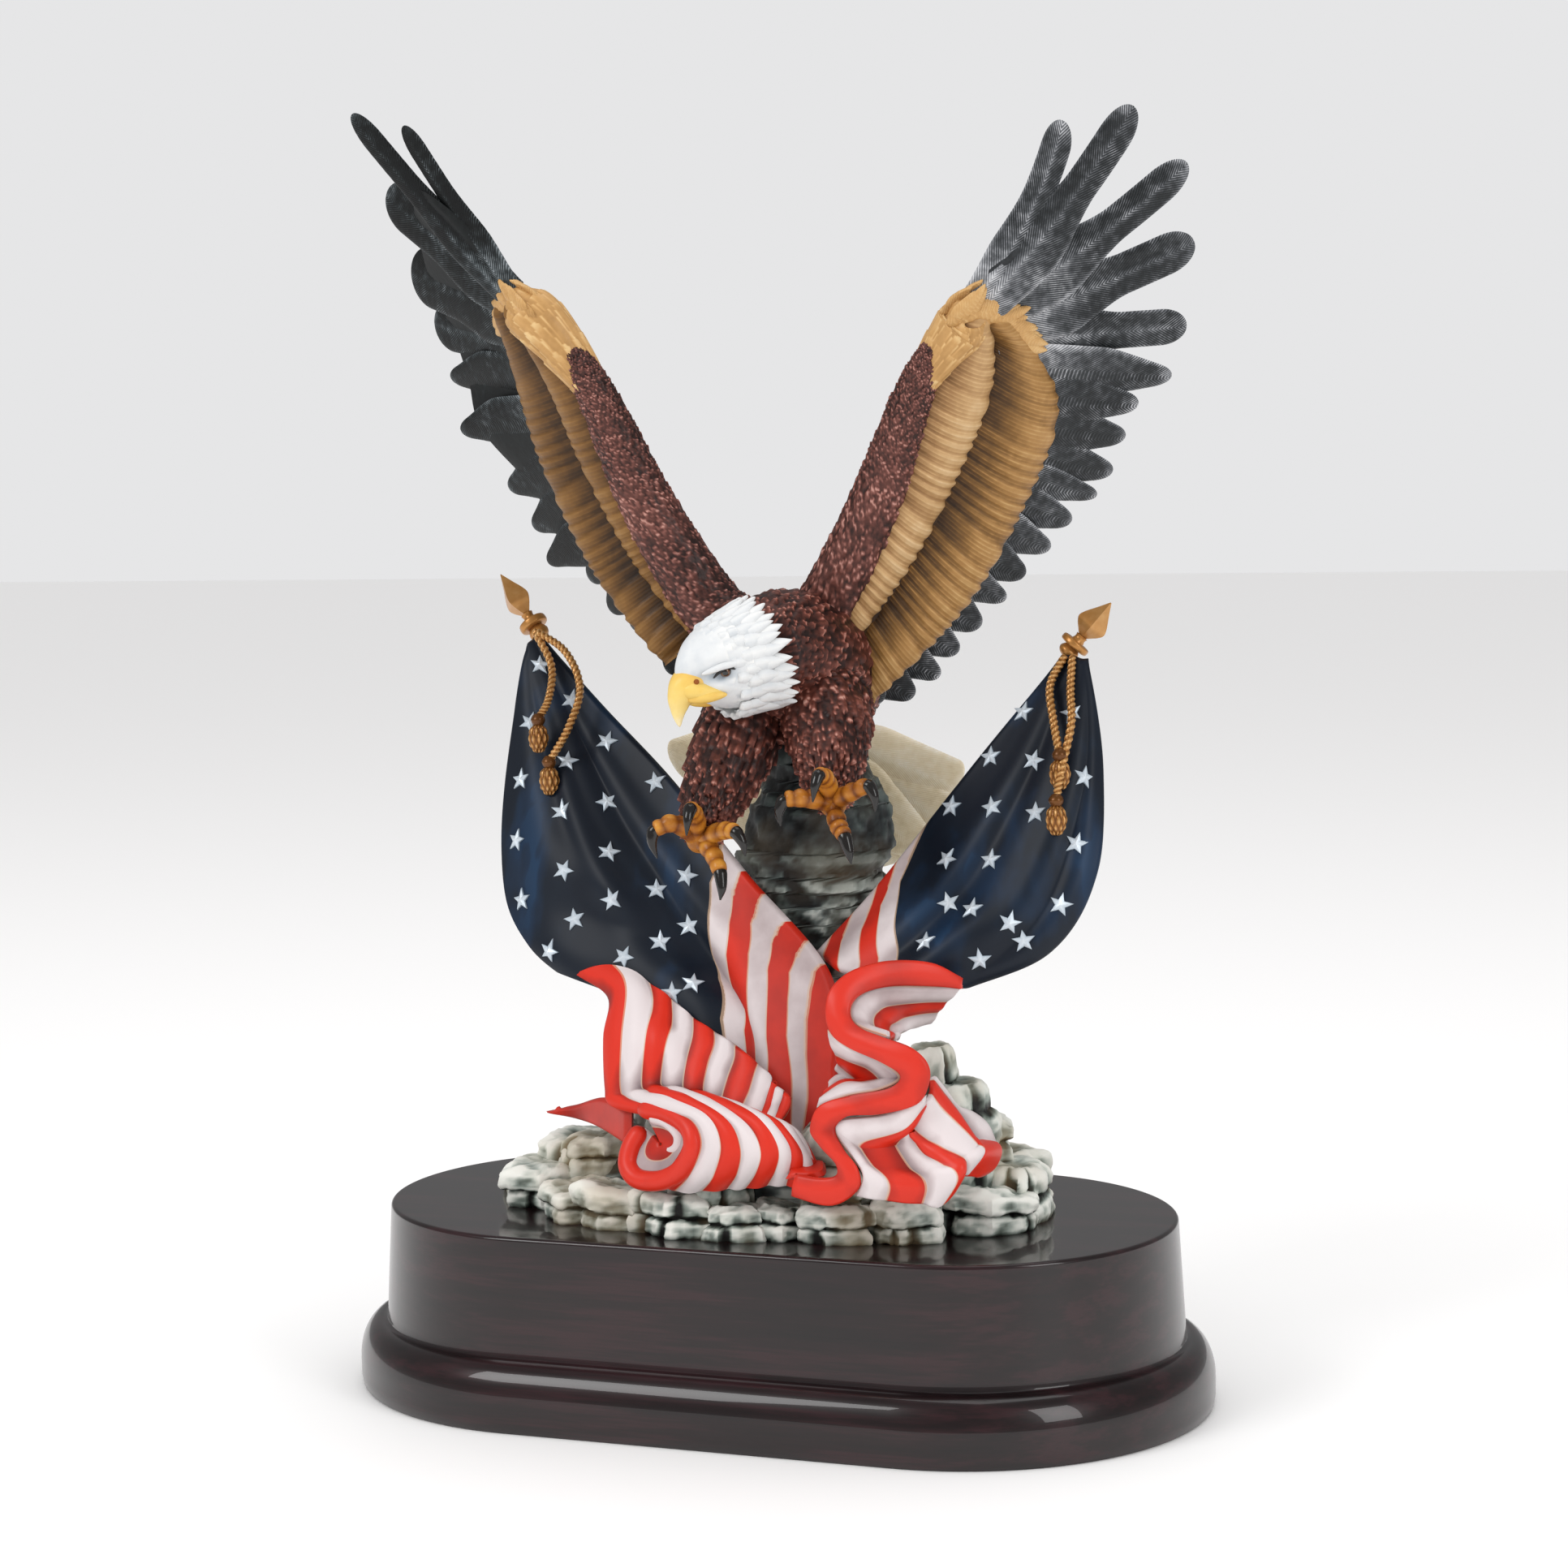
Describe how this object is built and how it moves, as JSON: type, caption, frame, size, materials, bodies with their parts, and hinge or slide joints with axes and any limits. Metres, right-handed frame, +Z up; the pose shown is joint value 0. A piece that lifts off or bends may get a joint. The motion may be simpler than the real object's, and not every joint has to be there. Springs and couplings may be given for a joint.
{
  "type": "eagle trophy",
  "caption": "Award sculpture: a bald eagle landing over crossed flags on a rock, cast in one piece and painted, on a lacquered racetrack plinth.",
  "frame": {"origin": "centre of the plinth's underside, on the surface that the trophy stands on", "axes": "+Z up through the trophy, -Y towards the front that the eagle and the flags face, +X to the viewer's right along the plinth"},
  "size_m": [0.25, 0.139, 0.3615],
  "materials": {
    "lacquered_wood": "dark rosewood stain under a high-gloss piano lacquer",
    "painted_resin": "hand-painted cast polyresin: satin feathers and rock with dry-brushed edges, glossy flags, gold finials and cords"
  },
  "bodies": {
    "root": {"plinth": "lacquered_wood", "eagle_casting": "painted_resin"}
  },
  "joints": []
}
